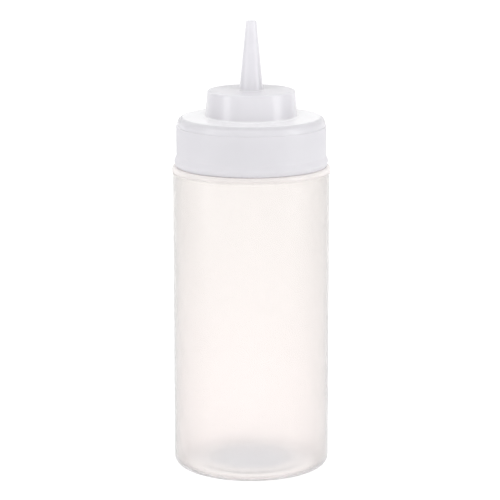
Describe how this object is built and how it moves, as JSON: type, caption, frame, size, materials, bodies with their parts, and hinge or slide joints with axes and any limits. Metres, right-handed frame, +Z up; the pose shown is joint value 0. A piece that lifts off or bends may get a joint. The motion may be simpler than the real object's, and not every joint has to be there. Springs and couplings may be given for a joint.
{
  "type": "squeeze bottle",
  "caption": "Translucent wide-mouth squeeze bottle with a screw cap that ends in a straight cone nozzle, and a flat sealing ring inside the cap.",
  "frame": {"origin": "centre of the bottle's underside, on the plane that its standing ring rests on", "axes": "+Z up along the bottle's axis to the nozzle's tip; +X and +Y across it, all round alike but for the start of the screw threads"},
  "size_m": [0.0706, 0.0706, 0.2018],
  "materials": {
    "bottle_plastic": "soft satin skin of natural low-density polyethylene, milky and translucent",
    "cap_plastic": "smooth satin natural polyethylene, cloudier than the bottle",
    "seal_foam": "matt white food-grade foam ring"
  },
  "bodies": {
    "bottle": {"bottle": "bottle_plastic"},
    "seal": {"cap_seal": "seal_foam"},
    "cap": {"cap": "cap_plastic"}
  },
  "joints": [
    {"name": "cap_rise", "type": "slide", "parent": "bottle", "child": "seal", "axis": [0, 0, 1], "range_m": [0, 0.00636]},
    {"name": "cap_turn", "type": "hinge", "parent": "seal", "child": "cap", "pos_m": [0, 0, 0.15], "axis": [0, 0, 1], "range_deg": [0, 450]}
  ],
  "couplings": [
    {"joint": "cap_rise", "follows": "cap_turn", "m_per_rad": 0.00080851}
  ]
}
